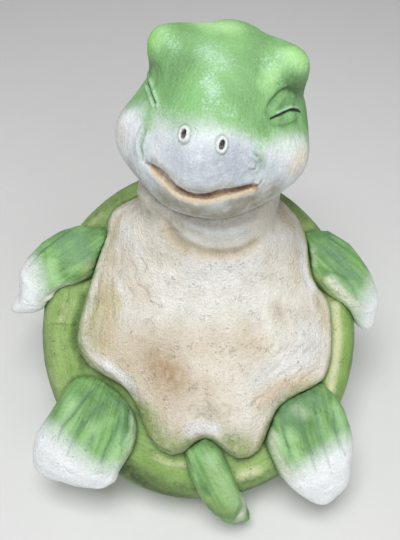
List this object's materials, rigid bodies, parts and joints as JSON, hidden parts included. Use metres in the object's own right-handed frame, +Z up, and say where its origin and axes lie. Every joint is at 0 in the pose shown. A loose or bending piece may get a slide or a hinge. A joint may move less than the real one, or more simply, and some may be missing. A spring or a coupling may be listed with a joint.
{
  "type": "turtle figurine",
  "caption": "Painted turtle garden figurine that lies back on its shell, belly up, smiling with closed eyes; stands on a flat base.",
  "frame": {"origin": "centre of the overall box, on the ground under the flat base", "axes": "+Z up, -Y towards the side that the belly and face look to, +X to the viewer's right"},
  "size_m": [0.3272, 0.3028, 0.3339],
  "materials": {
    "shell_paint": "stone-filled casting resin, airbrushed yellow-green, satin",
    "belly_paint": "stone-filled casting resin, ivory with tan wash, matt",
    "head_paint": "stone-filled casting resin, airbrushed green fading to white, satin",
    "limb_paint": "stone-filled casting resin, airbrushed green with white tips, satin",
    "dowel_wood": "raw",
    "stopper_rubber": "matt"
  },
  "bodies": {
    "root": {"carapace": "shell_paint", "plastron": "belly_paint", "head": "head_paint", "left_foreleg": "limb_paint", "right_foreleg": "limb_paint", "left_hind_leg": "limb_paint", "right_hind_leg": "limb_paint", "tail": "limb_paint", "left_foreleg_dowel": "dowel_wood", "right_foreleg_dowel": "dowel_wood", "left_hind_leg_dowel": "dowel_wood", "right_hind_leg_dowel": "dowel_wood", "tail_dowel": "dowel_wood", "neck_dowel": "dowel_wood", "drain_stopper": "stopper_rubber"}
  },
  "joints": []
}
